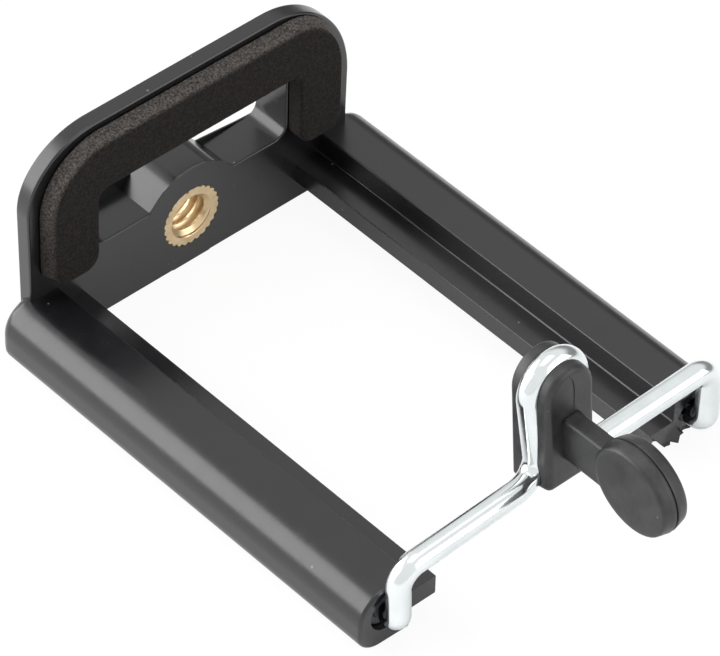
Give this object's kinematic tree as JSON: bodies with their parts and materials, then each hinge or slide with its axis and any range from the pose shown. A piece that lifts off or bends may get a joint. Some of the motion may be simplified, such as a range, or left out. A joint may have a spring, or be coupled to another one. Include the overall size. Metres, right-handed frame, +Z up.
{
  "type": "spring phone clamp for tripods",
  "caption": "Spring clamp that grips a phone or small device between a foam pad and a sliding wire jaw, with a camera-thread insert.",
  "frame": {"origin": "on the resting plane, under the middle of the bar at the back that holds the brass insert", "axes": "+X towards the rail with the broken end, +Y out of the back where the tripod screw goes in, +Z up"},
  "size_m": [0.0596, 0.092, 0.032],
  "materials": {
    "black_abs": "glossy black moulded ABS",
    "dark_foam": "dark brown-black closed-cell foam",
    "brass": "turned and knurled yellow brass",
    "chromed_steel": "bright plated steel wire",
    "black_rubber": "matte moulded rubber",
    "bush_plastic": "matte black plastic",
    "spring_steel": "bare spring steel"
  },
  "bodies": {
    "body": {"clamp_body": "black_abs", "foam_pad": "dark_foam", "threaded_insert": "brass", "guide_bush_left": "bush_plastic", "guide_bush_right": "bush_plastic", "spring_left": "spring_steel", "spring_right": "spring_steel"},
    "jaw": {"wire_jaw": "chromed_steel", "rubber_foot": "black_rubber", "retaining_washer_left": "spring_steel", "retaining_washer_right": "spring_steel"}
  },
  "joints": [
    {"name": "jaw_slide", "type": "slide", "parent": "body", "child": "jaw", "axis": [0, -1, 0], "range_m": [0, 0.03], "stiffness_N_per_m": 330, "springref_m": -0.015, "deforming": ["spring_left", "spring_right"]}
  ]
}
